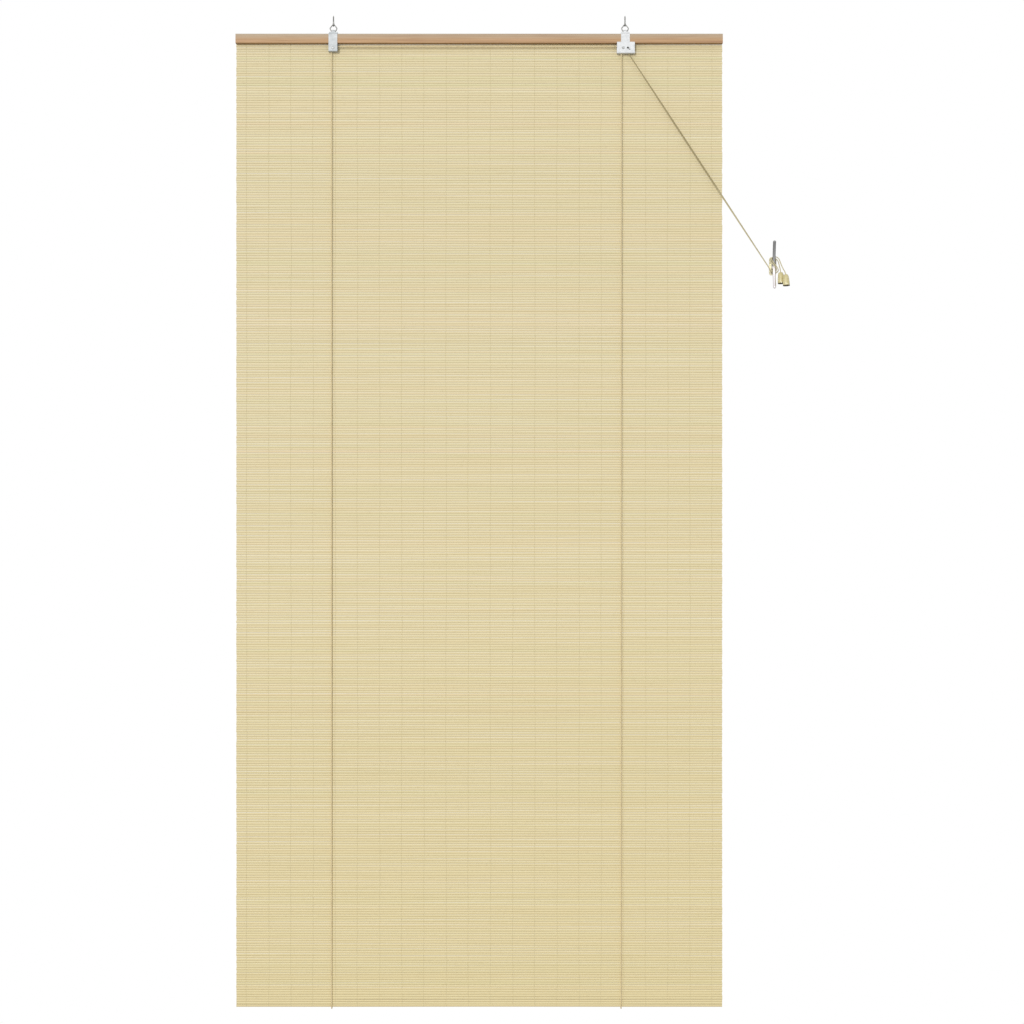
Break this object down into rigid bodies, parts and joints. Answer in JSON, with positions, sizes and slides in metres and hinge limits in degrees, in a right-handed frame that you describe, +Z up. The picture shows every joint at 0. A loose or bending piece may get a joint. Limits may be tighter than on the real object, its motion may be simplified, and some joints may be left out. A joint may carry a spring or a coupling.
{
  "type": "bamboo roll-up blind",
  "caption": "Roll-up window blind of woven bamboo slats under a wooden headrail, hung by rings on screw hooks, with lift cords, pulley, cord lock, knobs and a wall cleat.",
  "frame": {"origin": "midway between the two screw hooks, at the height where their threads enter the ceiling", "axes": "+X to the right seen from the room, +Y towards the wall, +Z up along the screw hooks"},
  "size_m": [0.9096, 0.0459, 1.6362],
  "materials": {
    "rail_wood": "matt",
    "bamboo": "matt",
    "thread": "matt",
    "cord": "matt",
    "plated_steel": "satin",
    "bright_wire": "satin",
    "cleat_steel": "polished",
    "pulley_plastic": "satin",
    "knob_plastic": "gloss"
  },
  "bodies": {
    "fixings": {"left_screw_hook": "bright_wire", "right_screw_hook": "bright_wire", "left_ring": "bright_wire", "right_ring": "bright_wire", "wall_cleat": "cleat_steel", "cleat_screws": "bright_wire", "left_pull_cord": "cord", "right_pull_cord": "cord", "left_cord_knob": "knob_plastic", "right_cord_knob": "knob_plastic"},
    "blind": {"headrail": "rail_wood", "bamboo_mat": "bamboo", "warp_threads": "thread", "mat_staples": "bright_wire", "left_bracket": "plated_steel", "left_pulley_pin": "bright_wire", "lock_housing": "plated_steel", "lock_pulley_pin": "bright_wire", "bracket_screws": "bright_wire", "left_lift_cord": "cord", "right_lift_cord": "cord"},
    "batten": {"bottom_batten": "rail_wood"},
    "pulley": {"left_pulley": "pulley_plastic"},
    "lock_wheel": {"lock_pulley": "pulley_plastic"},
    "roller": {"lock_roller": "bright_wire"}
  },
  "joints": [
    {"name": "blind_swing", "type": "hinge", "parent": "fixings", "child": "blind", "pos_m": [0, 0, -0.0164], "axis": [-1, 0, 0], "range_deg": [0, 15], "deforming": ["left_pull_cord", "right_pull_cord"]},
    {"name": "curtain_raise", "type": "slide", "parent": "blind", "child": "batten", "axis": [0, 0, 1], "range_m": [0, 1.48], "deforming": ["bamboo_mat", "warp_threads", "left_lift_cord", "right_lift_cord"]},
    {"name": "left_pulley_spin", "type": "hinge", "parent": "blind", "child": "pulley", "pos_m": [-0.24, -0.00645, -0.0466], "axis": [0, 1, 0], "continuous": true},
    {"name": "lock_pulley_spin", "type": "hinge", "parent": "blind", "child": "lock_wheel", "pos_m": [0.2365, -0.00645, -0.0466], "axis": [0, 1, 0], "continuous": true},
    {"name": "roller_slide", "type": "slide", "parent": "blind", "child": "roller", "axis": [-0.809, 0, 0.5878], "range_m": [0, 0.004]}
  ],
  "couplings": [
    {"joint": "left_pulley_spin", "follows": "curtain_raise", "rad_per_m": 666.67},
    {"joint": "lock_pulley_spin", "follows": "curtain_raise", "rad_per_m": 666.67}
  ]
}
